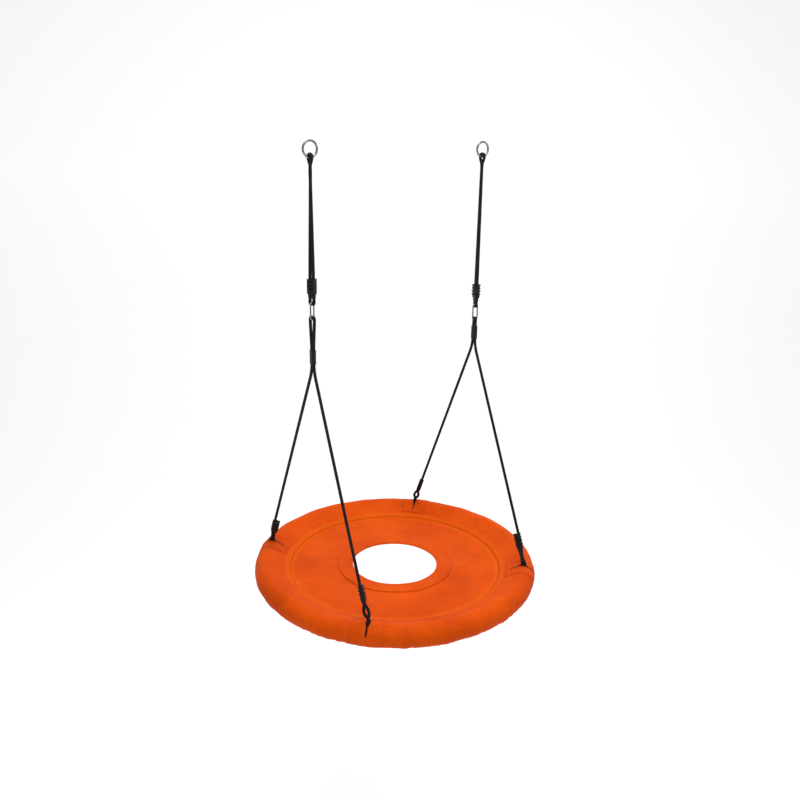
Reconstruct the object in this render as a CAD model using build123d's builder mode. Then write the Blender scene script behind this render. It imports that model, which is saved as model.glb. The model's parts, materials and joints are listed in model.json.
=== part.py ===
"""Saucer nest swing: a padded ring seat of 1 m, hung by two height-adjustable ropes.

Units are millimetres. +Z is up, +X runs along the beam that carries the swing, and the rider
swings along Y. The origin lies midway between the two hanging rings, level with the inside of
their tops, which is where the hooks of the beam carry them.
"""

from build123d import *
from math import acos, atan2, cos, degrees, hypot, pi, radians, sin
import os

# ---------------------------------------------------------------- driving dimensions
rope_d = 10.0
rope_r = rope_d / 2
bore_clearance = 0.3  # rope that slides in a bore
snug_clearance = 0.1  # rope that a clamp holds
pivot_gap = 1.6  # rope of the bight stops this far above the strands that bend below it
foot_gap = 3.6  # ropes stop this far above and below the bend at the slit

tube_ring_r = 462.0  # centre line of the seat's steel tube
tube_d = 25.0
tube_wall = 1.5
rim_r = 38.0  # section radius of the padded rim, so the seat is 1 m across
cover_t = 2.0
seat_drop = 1460.0  # from the hanging hooks to the middle of the rim

ring_outer_d = 54.0
ring_wire_d = 7.0
bight_r = 10.3  # rope centre line round the ring's wire
bight_lift = 1.5  # how far the bend's centre lies below the wire's centre
sway_drop = 70.0  # height of the sideways bend below the origin
pair_gap = 10.8  # centre to centre of two strands that lie side by side
view_twist = 55.0  # direction of the strand pair just below the ring, in degrees from +X

adjuster_size = (28.0, 18.0, 46.0)
adjuster_rib = (24.0, 27.0, 4.0)
adjuster_pair = 12.6
adjuster_ribs = 4
eye_clamp_size = (26.0, 14.0, 12.0)
eye_depth = 24.0  # from the eye clamp to the outside of the eye
clamp_gap = 0.6  # between the adjuster and the eye clamp
fixed_end = 36.0  # depth of the fixed strand in the adjuster
blind_bore = 37.0
mouth_run = 20.0  # straight rope above the adjuster

hook_wire_d = 5.0
hook_length = 61.0
hook_width = 22.0
gate_top = 12.7  # heights measured from the middle of the hook
gate_bottom = -16.0
gate_pin_z = -13.5
nose_gap = 0.3

fork_clamp_top = -619.0
fork_clamp_size = (25.0, 15.0, 47.0)
fork_pair = 10.6
fork_apex = -686.0
leg_clamp_size = (23.0, 13.0, 52.0)
leg_clamp_rib = (27.0, 17.0, 4.0)
leg_clamp_ribs = 4
tail_short = 3.0  # a rope's end stops this far inside its leg clamp
slit_height = 46.0  # where the loops enter the cover, above the middle of the rim
slit_size = (29.0, 13.0, 6.0)  # across the tube, along it, and its corners
loop_bulge = 7.6  # half the width of a foot loop at its widest
loop_bulge_at = 0.45  # and where that is, as a share of the loop from the slit up

panel_r = 375.0  # seam circle between the flat panel and the rim sleeve
hole_r = 152.5
binding_r = 207.0
panel_gap = 0.3
foam_gap = 32.0  # half the bare length of tube at each loop
patch_length = 103.0
patch_t = 1.2
patch_reach = 46.0  # from the top of the rim down its inner slope
patch_low = -35.0  # angle on the rim's section of the patch's outer edge

# ---------------------------------------------------------------- worked-out dimensions
hang_x = tube_ring_r * cos(radians(45))
seat_z = -seat_drop
ring_mid_r = (ring_outer_d - ring_wire_d) / 2
ring_z = -(ring_mid_r - ring_wire_d / 2)
wire_z = ring_z - ring_mid_r
hook_bow_r = (hook_width - hook_wire_d) / 2
hook_span = hook_length - hook_wire_d
over_wire = hook_wire_d / 2 + rope_r + bore_clearance
slit_z = seat_z + slit_height

# name, side of the beam, adjuster's top, direction of the strand pair and of the hook
sides = [
    ("left", -1, -398.0, 115.0, 25.0),
    ("right", 1, -472.0, 75.0, -15.0),
]
# name, x sign, y sign, visible length of the loop below the leg clamp
corners = [
    ("front_left", -1, -1, 60.0),
    ("rear_left", -1, 1, 42.0),
    ("front_right", 1, -1, 58.0),
    ("rear_right", 1, 1, 50.0),
]
# name and direction of each joint between two tubes
joints = [("right", 0.0), ("rear", 90.0), ("left", 180.0), ("front", 270.0)]
pin_offset = 2.5  # degrees from a tube joint to each of its pins
pin_r = 2.5

os.makedirs("parts", exist_ok=True)
seat_axis = Axis((0, 0, seat_z), (0, 0, 1))


def save(piece, name):
    """Label a finished piece and write it as the node of that name."""
    piece.part.label = name
    export_step(piece.part, f"parts/{name}.step")
    print(f"{name}: {len(piece.part.solids())} solid, {piece.part.volume / 1000:.1f} cm3")


def direction(angle):
    """Unit vector in the horizontal plane, an angle in degrees from +X."""
    return Vector(cos(radians(angle)), sin(radians(angle)), 0)


def upright(centre, angle):
    """Plane through a point, its x along the horizontal direction and its y straight up."""
    return Plane(origin=centre, x_dir=direction(angle), z_dir=direction(angle - 90))


def rope(points, radii, name):
    """Straight runs of rope joined by tangent arcs, checked against section times length."""
    with BuildPart() as made:
        with BuildLine() as path:
            FilletPolyline(*points, radius=radii)
        route = path.wire()
        with BuildSketch(Plane(origin=route @ 0, z_dir=route % 0)):
            Circle(rope_r)
        sweep(path=route)
    share = made.part.volume / (pi * rope_r**2 * route.length)
    print(f"{name}: radii {radii}, length {route.length:.0f}, volume share {share:.4f}")
    return made


def clamp(frame, size, pair, clearance, name):
    """Smooth moulded sleeve, its top at the frame, with two bores for a pair of strands."""
    width, depth, length = size
    with BuildPart() as made:
        with BuildSketch(frame):
            RectangleRounded(width, depth, depth / 2 - 0.5)
        extrude(amount=-length)
        fillet(made.faces().sort_by(Axis(frame.origin, frame.z_dir))[-1].edges(), 1.0)
        fillet(made.faces().sort_by(Axis(frame.origin, frame.z_dir))[0].edges(), 1.0)
        with BuildSketch(frame):
            with Locations((-pair / 2, 0), (pair / 2, 0)):
                Circle(rope_r + clearance)
        extrude(amount=-length, mode=Mode.SUBTRACT)
    save(made, name)


def ribbed_sleeve(frame, size, rib, ribs, pair, clearance, blind, name):
    """Moulded sleeve with grip ribs across it. A blind depth closes the second bore below it."""
    width, depth, length = size
    rib_width, rib_depth, rib_height = rib
    pitch = (length - rib_height) / ribs
    with BuildPart() as made:
        with BuildSketch(frame):
            RectangleRounded(width, depth, 4.0)
        extrude(amount=-length)
        for i in range(ribs):
            with BuildSketch(frame.offset(-i * pitch)):
                RectangleRounded(rib_width, rib_depth, 5.0)
            extrude(amount=-rib_height)
        with BuildSketch(frame):
            with Locations((-pair / 2, 0)):
                Circle(rope_r + clearance)
        extrude(amount=-length, mode=Mode.SUBTRACT)
        with BuildSketch(frame):
            with Locations((pair / 2, 0)):
                Circle(rope_r + clearance)
        extrude(amount=-blind, mode=Mode.SUBTRACT)
    save(made, name)


# ---------------------------------------------------------------- hanging lines
def hanging_ring(name, x):
    """Welded steel ring that the beam's hook carries."""
    with BuildPart() as made:
        with BuildSketch(Plane.XY.offset(ring_z)):
            with Locations((x + ring_mid_r, 0)):
                Circle(ring_wire_d / 2)
        revolve(axis=Axis((x, 0, ring_z), (0, 1, 0)), revolution_arc=360)
    save(made, f"{name}_ring")


def bight(name, x):
    """The turn of rope that hangs over the ring's wire and rolls on it as the seat swings."""
    centre = Vector(x, 0, 0)
    low = direction(view_twist) * (pair_gap / 2)
    wide = direction(90) * bight_r
    bend_z = wire_z - bight_lift
    points = [
        centre + low + Vector(0, 0, -sway_drop + rope_r + pivot_gap),
        centre + wide + Vector(0, 0, bend_z - 5.0),
        centre + wide + Vector(0, 0, bend_z + bight_r),
        centre - wide + Vector(0, 0, bend_z + bight_r),
        centre - wide + Vector(0, 0, bend_z - 5.0),
        centre - low + Vector(0, 0, -sway_drop + rope_r + pivot_gap),
    ]
    arc = bight_r - 0.02
    save(rope(points, [18, arc, arc, 18], f"{name}_bight"), f"{name}_bight")


def strands(name, x, top, pair_angle):
    """The fixed strand ends in the adjuster; the running strand passes through it."""
    centre = Vector(x, 0, 0)
    low = direction(view_twist) * (pair_gap / 2)
    bore = direction(pair_angle) * (adjuster_pair / 2)
    start = Vector(0, 0, -sway_drop)
    bottom = top - adjuster_size[2]
    fixed = [
        centre + low + start,
        centre + bore + Vector(0, 0, top + mouth_run),
        centre + bore + Vector(0, 0, top - fixed_end),
    ]
    running = [
        centre - low + start,
        centre - bore + Vector(0, 0, top + mouth_run),
        centre - bore + Vector(0, 0, bottom),
    ]
    save(rope(fixed, [400], f"{name}_fixed_strand"), f"{name}_fixed_strand")
    save(rope(running, [400], f"{name}_running_strand"), f"{name}_running_strand")


def adjuster(name, x, top, pair_angle):
    """Two-hole runner: slid up the running strand, it lets the seat down by the same amount."""
    frame = Plane(origin=(x, 0, top), x_dir=direction(pair_angle), z_dir=(0, 0, 1))
    ribbed_sleeve(
        frame,
        adjuster_size,
        adjuster_rib,
        adjuster_ribs,
        adjuster_pair,
        bore_clearance,
        blind_bore,
        f"{name}_adjuster",
    )


def eye(name, x, top, pair_angle):
    """Eye at the end of the running strand, closed by a small clamp, with the hook in it."""
    clamp_top = top - adjuster_size[2] - clamp_gap
    frame = Plane(origin=(x, 0, clamp_top), x_dir=direction(pair_angle), z_dir=(0, 0, 1))
    clamp(frame, eye_clamp_size, adjuster_pair, snug_clearance, f"{name}_eye_clamp")
    centre = Vector(x, 0, 0)
    bore = direction(pair_angle) * (adjuster_pair / 2)
    wide = direction(pair_angle) * (over_wire + 0.1)
    foot = clamp_top - eye_clamp_size[2] - 0.5
    low = clamp_top - eye_clamp_size[2] - eye_depth + rope_r
    points = [
        centre - bore + Vector(0, 0, clamp_top),
        centre - bore + Vector(0, 0, foot),
        centre - wide + Vector(0, 0, foot - 7.5),
        centre - wide + Vector(0, 0, low),
        centre + wide + Vector(0, 0, low),
        centre + wide + Vector(0, 0, foot - 7.5),
        centre + bore + Vector(0, 0, foot),
        centre + bore + Vector(0, 0, clamp_top - 1.0),
    ]
    arc = over_wire
    save(rope(points, [16, 16, arc, arc, 16, 16], f"{name}_eye"), f"{name}_eye")


def eye_low(top):
    """Height of the rope's centre line at the bottom of the eye."""
    return top - adjuster_size[2] - clamp_gap - eye_clamp_size[2] - eye_depth + rope_r


def hook_middle(top):
    """Height of the middle of the hook, which hangs in the eye."""
    return eye_low(top) + over_wire - hook_span / 2


# ---------------------------------------------------------------- hooks
def hook(name, x, top, angle):
    """Oval snap hook: bent wire, open on one side, with a flat tang for the gate's rivet."""
    frame = upright((x, 0, hook_middle(top)), angle)
    straight = hook_span / 2 - hook_bow_r
    tang_root = gate_bottom - 1.5
    with BuildPart() as made:
        with BuildLine(frame) as path:
            Line((hook_bow_r, gate_top + nose_gap), (hook_bow_r, straight))
            ThreePointArc(
                (hook_bow_r, straight), (0, straight + hook_bow_r), (-hook_bow_r, straight)
            )
            Line((-hook_bow_r, straight), (-hook_bow_r, -straight))
            ThreePointArc(
                (-hook_bow_r, -straight), (0, -straight - hook_bow_r), (hook_bow_r, -straight)
            )
            Line((hook_bow_r, -straight), (hook_bow_r, tang_root))
        route = path.wire()
        with BuildSketch(Plane(origin=route @ 0, z_dir=route % 0)):
            Circle(hook_wire_d / 2)
        sweep(path=route)
        with BuildSketch(frame):
            with Locations((hook_bow_r, (tang_root + gate_pin_z + 2.0) / 2)):
                Rectangle(4.4, gate_pin_z + 2.0 - tang_root + 0.01)
        extrude(amount=1.0, both=True)
        with BuildSketch(frame):
            with Locations((hook_bow_r, gate_pin_z)):
                Circle(1.05)
        extrude(amount=3.0, both=True, mode=Mode.SUBTRACT)
    save(made, f"{name}_hook")


def gate(name, x, top, angle):
    """Sprung gate that closes the hook, forked over the tang and turning on a rivet."""
    frame = upright((x, 0, hook_middle(top)), angle)
    foot = frame.origin + frame.x_dir * hook_bow_r + frame.y_dir * gate_bottom
    with BuildPart() as made:
        with BuildSketch(Plane(origin=foot, x_dir=frame.x_dir, z_dir=(0, 0, 1))):
            Circle(hook_wire_d / 2)
        extrude(amount=gate_top - gate_bottom)
        with BuildSketch(frame):
            with Locations((hook_bow_r, (gate_bottom - 1.0 + gate_pin_z + 3.4) / 2)):
                Rectangle(8.0, gate_pin_z + 3.4 - gate_bottom + 1.0)
        extrude(amount=1.2, both=True, mode=Mode.SUBTRACT)
        with BuildSketch(frame):
            with Locations((hook_bow_r, gate_pin_z)):
                Circle(1.0)
        extrude(amount=3.0, both=True, mode=Mode.SUBTRACT)
    save(made, f"{name}_gate")
    with BuildPart() as rivet:
        with BuildSketch(frame):
            with Locations((hook_bow_r, gate_pin_z)):
                Circle(1.0)
        extrude(amount=2.2, both=True)
    save(rivet, f"{name}_gate_rivet")


# ---------------------------------------------------------------- forks
def leg_frame(x_sign, y_sign):
    """Foot of a leg, its direction upwards, and the direction of its pair of strands."""
    foot = Vector(x_sign * hang_x, y_sign * hang_x, slit_z)
    apex = Vector(x_sign * hang_x, y_sign * fork_pair / 2, fork_apex)
    up = (apex - foot).normalized()
    outward = Vector(x_sign, y_sign, 0).normalized()
    side = (outward - up * outward.dot(up)).normalized()
    return foot, up, outward, side


def leg_points(x_sign, y_sign, visible, flip):
    """Points of one strand of a leg's loop, from the slit in the cover to the clamp's top."""
    foot, up, outward, side = leg_frame(x_sign, y_sign)
    half = flip * fork_pair / 2
    return [
        foot + outward * half + Vector(0, 0, foot_gap),
        foot + up * (visible * loop_bulge_at) + side * (flip * loop_bulge),
        foot + up * (visible - 1.0) + side * half,
        foot + up * (visible + leg_clamp_size[2]) + side * half,
    ]


def fork(name, x_sign, top, pair_angle):
    """One rope: over the hook, through the fork clamp, then down both legs to the rim."""
    legs = [c for c in corners if c[1] == x_sign]
    front = next(c for c in legs if c[2] < 0)
    rear = next(c for c in legs if c[2] > 0)
    x = x_sign * hang_x
    centre = Vector(x, 0, 0)
    wide = direction(pair_angle) * (over_wire + 0.1)
    hook_low = hook_middle(top) - hook_span / 2
    crown = hook_low + over_wire
    shoulder = hook_low - 7.0
    halves = []
    for corner, y_sign in ((front, -1), (rear, 1)):
        rise = leg_points(corner[1], corner[2], corner[3], 1)
        halves.append(
            rise
            + [
                Vector(x, y_sign * fork_pair / 2, fork_apex),
                Vector(x, y_sign * fork_pair / 2, fork_clamp_top + 0.5),
                centre + wide * y_sign + Vector(0, 0, shoulder),
                centre + wide * y_sign + Vector(0, 0, crown),
            ]
        )
    points = halves[0] + halves[1][::-1]
    arc = over_wire
    bends = [30, 30, 300, 36, 14, 14, arc]
    made = rope(points, bends + bends[::-1], f"{name}_fork_rope")
    ends = []
    for corner in (front, rear):
        tail = leg_points(corner[1], corner[2], corner[3], -1)
        tail[-1] = tail[-1] - leg_frame(*corner[1:3])[1] * tail_short
        ends.append(rope(tail, [30, 30], f"{corner[0]}_tail"))
    with BuildPart() as whole:
        add(made.part)
        for end in ends:
            add(end.part)
    save(whole, f"{name}_fork_rope")
    frame = Plane(origin=(x, 0, fork_clamp_top), x_dir=(0, 1, 0), z_dir=(0, 0, 1))
    clamp(frame, fork_clamp_size, fork_pair, snug_clearance, f"{name}_fork_clamp")


def leg_clamp(name, x_sign, y_sign, visible):
    """Ribbed clamp that holds the rope's end against its leg and so closes the loop."""
    foot, up, outward, side = leg_frame(x_sign, y_sign)
    top = foot + up * (visible + leg_clamp_size[2])
    frame = Plane(origin=top, x_dir=side, z_dir=up)
    ribbed_sleeve(
        frame,
        leg_clamp_size,
        leg_clamp_rib,
        leg_clamp_ribs,
        fork_pair,
        snug_clearance,
        leg_clamp_size[2],
        f"{name}_leg_clamp",
    )


def tie(name, x_sign, y_sign):
    """The hidden part of a leg's loop: down through the slit and round the steel tube."""
    attach = Vector(x_sign * hang_x, y_sign * hang_x, seat_z)
    turn_r = tube_d / 2 + rope_r + 0.5
    high = slit_height - foot_gap
    half = fork_pair / 2
    lean = atan2(half, high) + acos(turn_r / hypot(half, high))
    touch = (turn_r * sin(lean), turn_r * cos(lean))
    with BuildPart() as made:
        with BuildLine(upright(attach, degrees(atan2(y_sign, x_sign)))) as path:
            Line((-half, high), (-touch[0], touch[1]))
            ThreePointArc((-touch[0], touch[1]), (0, -turn_r), touch)
            Line(touch, (half, high))
        route = path.wire()
        with BuildSketch(Plane(origin=route @ 0, z_dir=route % 0)):
            Circle(rope_r)
        sweep(path=route)
    save(made, f"{name}_tie")


# ---------------------------------------------------------------- seat frame
def pin_holes(angle, radius):
    """Cuts the two vertical pin holes at a tube joint out of the piece being built."""
    for turn in (angle - pin_offset, angle + pin_offset):
        spot = direction(turn) * tube_ring_r + Vector(0, 0, seat_z)
        with BuildSketch(Plane(origin=spot, z_dir=(0, 0, 1))) as hole:
            Circle(radius)
        extrude(hole.sketch, amount=tube_d, both=True, mode=Mode.SUBTRACT)


def bent_tube(start, arc, outer_r, inner_r):
    """Sketch and revolve a length of round tube or foam along the seat's ring."""
    with BuildSketch(upright((0, 0, seat_z), start)) as section:
        with Locations((tube_ring_r, 0)):
            Circle(outer_r)
            Circle(inner_r, mode=Mode.SUBTRACT)
    revolve(section.sketch, axis=seat_axis, revolution_arc=arc)


def seat_tube(name, x_sign, y_sign):
    """A quarter of the steel ring, centred on one of the four loops."""
    middle = degrees(atan2(y_sign, x_sign))
    end_gap = 0.02
    with BuildPart() as made:
        bent_tube(middle - 45 + end_gap, 90 - 2 * end_gap, tube_d / 2, tube_d / 2 - tube_wall)
        pin_holes(middle - 45, pin_r + 0.05)
        pin_holes(middle + 45, pin_r + 0.05)
    save(made, f"{name}_tube")


def spigot(name, angle):
    """Short inner tube that joins two quarters."""
    with BuildPart() as made:
        bent_tube(angle - 5, 10, tube_d / 2 - tube_wall - 0.1, tube_d / 2 - 2 * tube_wall - 0.1)
        pin_holes(angle, pin_r + 0.05)
    save(made, f"{name}_spigot")


def frame_pins():
    """Cross pins, two at each joint, that keep the quarters together."""
    with BuildPart() as made:
        for name, angle in joints:
            for turn in (angle - pin_offset, angle + pin_offset):
                spot = direction(turn) * tube_ring_r + Vector(0, 0, seat_z)
                with BuildSketch(Plane(origin=spot, z_dir=(0, 0, 1))):
                    Circle(pin_r)
                extrude(amount=tube_d / 2 - 0.2, both=True)
    save(made, "frame_pins")


def foam(name, angle):
    """Foam sleeve over the steel tube between two loops."""
    arc = 90 - 2 * degrees(foam_gap / tube_ring_r)
    with BuildPart() as made:
        bent_tube(angle - arc / 2, arc, rim_r - cover_t - 0.6, tube_d / 2 + 0.3)
    save(made, f"{name}_foam")


# ---------------------------------------------------------------- cover
def rim_tangent():
    """Angle on the rim's section where the straight part of the sleeve touches it."""
    return 180 - degrees(acos(rim_r / (tube_ring_r - panel_r)))


def cut_slit(x_sign, y_sign):
    """Cuts the opening for a loop's two strands out of the top of the rim."""
    attach = Vector(x_sign * hang_x, y_sign * hang_x, seat_z + tube_d / 2 + rope_r)
    turned = Plane(origin=attach, x_dir=(x_sign, y_sign, 0), z_dir=(0, 0, 1))
    with BuildSketch(turned) as slit:
        RectangleRounded(*slit_size)
    extrude(slit.sketch, amount=slit_height, mode=Mode.SUBTRACT)


def rim_sleeve(name, angle):
    """A quarter of the fabric sleeve round the padded rim, from one slit to the next."""
    touch = radians(rim_tangent())
    high = (tube_ring_r + rim_r * cos(touch), rim_r * sin(touch))
    low = (high[0], -high[1])
    seam_low = (panel_r, -2 * cover_t - panel_gap)
    seam_gap = 0.02
    with BuildPart() as made:
        with BuildSketch(upright((0, 0, seat_z), angle - 45 + seam_gap)):
            with BuildLine():
                Line((panel_r, 0), high)
                ThreePointArc(high, (tube_ring_r + rim_r, 0), low)
                Line(low, seam_low)
                Line(seam_low, (panel_r, 0))
            make_face()
            with Locations((tube_ring_r, 0)):
                Circle(rim_r - cover_t - 0.3, mode=Mode.SUBTRACT)
        revolve(axis=seat_axis, revolution_arc=90 - 2 * seam_gap)
        for corner, x_sign, y_sign, visible in corners:
            cut_slit(x_sign, y_sign)
    save(made, f"{name}_rim_sleeve")


def flat_panel(name, top):
    """One layer of the seat's flat panel, with the round hole in its middle."""
    with BuildPart() as made:
        with BuildSketch(Plane.XY.offset(seat_z + top)):
            Circle(panel_r - panel_gap)
            Circle(hole_r + patch_t + panel_gap, mode=Mode.SUBTRACT)
        extrude(amount=-cover_t)
    save(made, name)


def hole_binding():
    """Folded band of fabric that covers the edge of the hole on both faces."""
    low = -2 * cover_t - panel_gap
    inner = hole_r + patch_t + panel_gap / 2
    with BuildPart() as made:
        with BuildSketch(upright((0, 0, seat_z), 0)):
            with BuildLine():
                Polyline(
                    (binding_r, 0.1),
                    (binding_r, 0.1 + patch_t),
                    (hole_r, 0.1 + patch_t),
                    (hole_r, low - 0.1 - patch_t),
                    (binding_r, low - 0.1 - patch_t),
                    (binding_r, low - 0.1),
                    (inner, low - 0.1),
                    (inner, 0.1),
                    close=True,
                )
            make_face()
        revolve(axis=seat_axis, revolution_arc=360)
    save(made, "hole_binding")


def patch(name, x_sign, y_sign):
    """Stitched reinforcement over the rim, with the slit that its loop passes through."""
    middle = degrees(atan2(y_sign, x_sign))
    arc = degrees(patch_length / tube_ring_r)
    inner_r = rim_r + 0.2
    touch = radians(rim_tangent())
    slope = Vector(cos(touch - pi / 2), sin(touch - pi / 2))
    centre = Vector(tube_ring_r, 0)
    rim_out = Vector(cos(touch), sin(touch))
    rim_low = Vector(cos(radians(patch_low)), sin(radians(patch_low)))
    rim_top = Vector(cos(radians(40)), sin(radians(40)))
    near = centre + rim_out * inner_r
    far = centre + rim_out * (inner_r + patch_t)
    with BuildPart() as made:
        with BuildSketch(upright((0, 0, seat_z), middle - arc / 2)):
            with BuildLine():
                Line(near - slope * patch_reach, near)
                ThreePointArc(near, centre + rim_top * inner_r, centre + rim_low * inner_r)
                Line(centre + rim_low * inner_r, centre + rim_low * (inner_r + patch_t))
                ThreePointArc(
                    centre + rim_low * (inner_r + patch_t),
                    centre + rim_top * (inner_r + patch_t),
                    far,
                )
                Line(far, far - slope * patch_reach)
                Line(far - slope * patch_reach, near - slope * patch_reach)
            make_face()
        revolve(axis=seat_axis, revolution_arc=arc)
        cut_slit(x_sign, y_sign)
    save(made, f"{name}_patch")


# ---------------------------------------------------------------- build
for name, x_sign, top, pair_angle, hook_angle in sides:
    hanging_ring(name, x_sign * hang_x)
    bight(name, x_sign * hang_x)
    strands(name, x_sign * hang_x, top, pair_angle)
    adjuster(name, x_sign * hang_x, top, pair_angle)
    eye(name, x_sign * hang_x, top, pair_angle)
    hook(name, x_sign * hang_x, top, hook_angle)
    gate(name, x_sign * hang_x, top, hook_angle)
    fork(name, x_sign, top, pair_angle)

for name, x_sign, y_sign, visible in corners:
    leg_clamp(name, x_sign, y_sign, visible)
    tie(name, x_sign, y_sign)
    seat_tube(name, x_sign, y_sign)
    patch(name, x_sign, y_sign)

for name, angle in joints:
    spigot(name, angle)
    foam(name, angle)
    rim_sleeve(name, angle)

frame_pins()
flat_panel("seat_panel", 0)
flat_panel("under_panel", -cover_t - panel_gap)
hole_binding()
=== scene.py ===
# %% [markdown]
# # A saucer nest swing
# The swing is a padded ring in an orange cover, hung by two ropes with adjusters, snap hooks and
# forked legs. The CAD model holds every size and joint. This file gives it its looks: braided
# rope, a sewn cover with a padded rim, and finishes for plastic, zinc and steel. Hard parts keep
# their CAD shape and only get a material. Ropes and cloth are made again, because their braid,
# folds and stitches are what the eye looks for, and CAD has none of them.

# %% The frame
import json
from math import acos, atan2, cos, pi, radians, sin, tanh

import bmesh
import bpy
import numpy as np
from mathutils import Matrix, Quaternion, Vector, noise


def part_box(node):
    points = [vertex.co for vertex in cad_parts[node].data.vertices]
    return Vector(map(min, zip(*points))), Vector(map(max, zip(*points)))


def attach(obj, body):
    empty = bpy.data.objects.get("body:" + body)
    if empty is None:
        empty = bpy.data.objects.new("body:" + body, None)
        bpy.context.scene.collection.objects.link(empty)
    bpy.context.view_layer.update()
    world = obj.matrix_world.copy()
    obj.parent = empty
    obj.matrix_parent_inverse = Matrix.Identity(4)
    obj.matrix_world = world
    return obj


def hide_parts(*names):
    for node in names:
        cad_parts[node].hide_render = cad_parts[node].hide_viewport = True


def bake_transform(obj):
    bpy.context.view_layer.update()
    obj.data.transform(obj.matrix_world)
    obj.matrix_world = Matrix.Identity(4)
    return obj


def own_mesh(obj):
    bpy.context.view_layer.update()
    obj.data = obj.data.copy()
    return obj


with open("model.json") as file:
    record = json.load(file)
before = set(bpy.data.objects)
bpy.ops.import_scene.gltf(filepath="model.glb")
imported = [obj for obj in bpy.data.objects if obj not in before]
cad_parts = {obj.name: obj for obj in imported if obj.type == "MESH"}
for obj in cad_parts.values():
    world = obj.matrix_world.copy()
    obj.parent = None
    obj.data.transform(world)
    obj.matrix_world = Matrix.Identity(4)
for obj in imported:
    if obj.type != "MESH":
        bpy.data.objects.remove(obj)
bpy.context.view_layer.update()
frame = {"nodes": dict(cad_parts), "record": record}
scene = bpy.context.scene

# %% [markdown]
# ## Sizes that the whole swing shares
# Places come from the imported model, so the looks always fit it. The rim's sleeve tells how high
# the seat hangs and how thick the rim is, and the rings tell how far apart the two lines are.

# %% Shared sizes
sleeve_low, sleeve_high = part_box("right_rim_sleeve")
seat_z = (sleeve_low.z + sleeve_high.z) / 2
rim_r = (sleeve_high.z - sleeve_low.z) / 2
ring_r = sleeve_high.x - rim_r
panel_r = 0.375
hole_r = 0.1525
hem_r = 0.207
hang_x = (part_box("right_ring")[0].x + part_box("right_ring")[1].x) / 2
rope_r = 0.005
slit_z = seat_z + 0.046
# Each corner's side in x and in y, and the length of foot loop that shows below its clamp.
corners = {
    "front_left": (-1, -1, 0.060),
    "rear_left": (-1, 1, 0.042),
    "front_right": (1, -1, 0.058),
    "rear_right": (1, 1, 0.050),
}
print("rim", round(ring_r, 4), round(rim_r, 4), "seat at", round(seat_z, 4))

# %% [markdown]
# ## The camera
# The view is from the front left and a little above the rings' height, so that the seat shows as
# a wide ellipse. A camera can be aimed by a constraint or by angles. Here it gets a direction, made
# a rotation by to_track_quat, and then a small roll that leans the two lines to the left.

# %% Camera
camera_place = Vector((-1.567, -2.222, 0.041))
camera_aim = Vector((0.5506, 0.7759, -0.3080))
camera_roll = 0.0191
lens_mm = 37.75

camera_data = bpy.data.cameras.new("camera")
camera_data.lens = lens_mm
camera_data.sensor_width = 36
camera_data.clip_end = 60
camera = bpy.data.objects.new("camera", camera_data)
scene.collection.objects.link(camera)
camera.location = camera_place
camera.rotation_mode = "QUATERNION"
camera.rotation_quaternion = camera_aim.to_track_quat("-Z", "Y") @ Quaternion((0, 0, 1), camera_roll)
scene.camera = camera
scene.view_settings.view_transform = "Standard"

# %% [markdown]
# ## Light and stage
# A swing hangs free, so the floor lies well below it and runs up into a wall in one soft curve.
# A bare plane would show its edge as a horizon, so a bent line is extruded and its fold bevelled.
# Big soft lights from above leave the top of the seat bright and its underside darker.


# %% Helpers for light and stage
def area_light(name, place, target, size, power):
    """A square soft light at a place, turned towards a target."""
    data = bpy.data.lights.new(name, "AREA")
    data.size = size
    data.energy = power
    light = bpy.data.objects.new(name, data)
    light.location = place
    light.rotation_euler = (Vector(target) - Vector(place)).to_track_quat("-Z", "Y").to_euler()
    scene.collection.objects.link(light)


def plain_material(name, colour, roughness, glow):
    """A material of one colour with a faint glow, for the stage only."""
    material = bpy.data.materials.new(name)
    material.use_nodes = True
    shader = material.node_tree.nodes["Principled BSDF"]
    shader.inputs["Base Color"].default_value = (*colour, 1)
    shader.inputs["Roughness"].default_value = roughness
    shader.inputs["Emission Color"].default_value = (1, 1, 1, 1)
    shader.inputs["Emission Strength"].default_value = glow
    return material


# %% Stage
stage_turn = radians(-35)
stage_glow = 0.33


def build_stage():
    """Floor and wall in one sheet, joined by a wide curve."""
    floor_z, wall_y, half, top, curve_r = seat_z - 1.9, 5.0, 9.0, 6.0, 3.0
    bm = bmesh.new()
    profile = ((-half, floor_z), (wall_y, floor_z), (wall_y, top))
    line = [bm.verts.new((-half, y, z)) for y, z in profile]
    edges = [bm.edges.new(pair) for pair in zip(line, line[1:])]
    swept = bmesh.ops.extrude_edge_only(bm, edges=edges)["geom"]
    far_side = [v for v in swept if isinstance(v, bmesh.types.BMVert)]
    bmesh.ops.translate(bm, verts=far_side, vec=(2 * half, 0, 0))
    fold = [
        edge for edge in bm.edges
        if all(abs(v.co.y - wall_y) + abs(v.co.z - floor_z) < 1e-6 for v in edge.verts)
    ]
    bmesh.ops.bevel(bm, geom=fold, offset=curve_r, affect="EDGES", segments=24, profile=0.5, material=-1)
    bmesh.ops.rotate(bm, verts=bm.verts, matrix=Matrix.Rotation(stage_turn, 3, "Z"))
    mesh = bpy.data.meshes.new("stage")
    bm.to_mesh(mesh)
    bm.free()
    mesh.shade_smooth()
    stage = bpy.data.objects.new("stage", mesh)
    stage.data.materials.append(plain_material("stage_paint", (0.93, 0.93, 0.93), 0.9, stage_glow))
    scene.collection.objects.link(stage)


build_stage()

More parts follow.
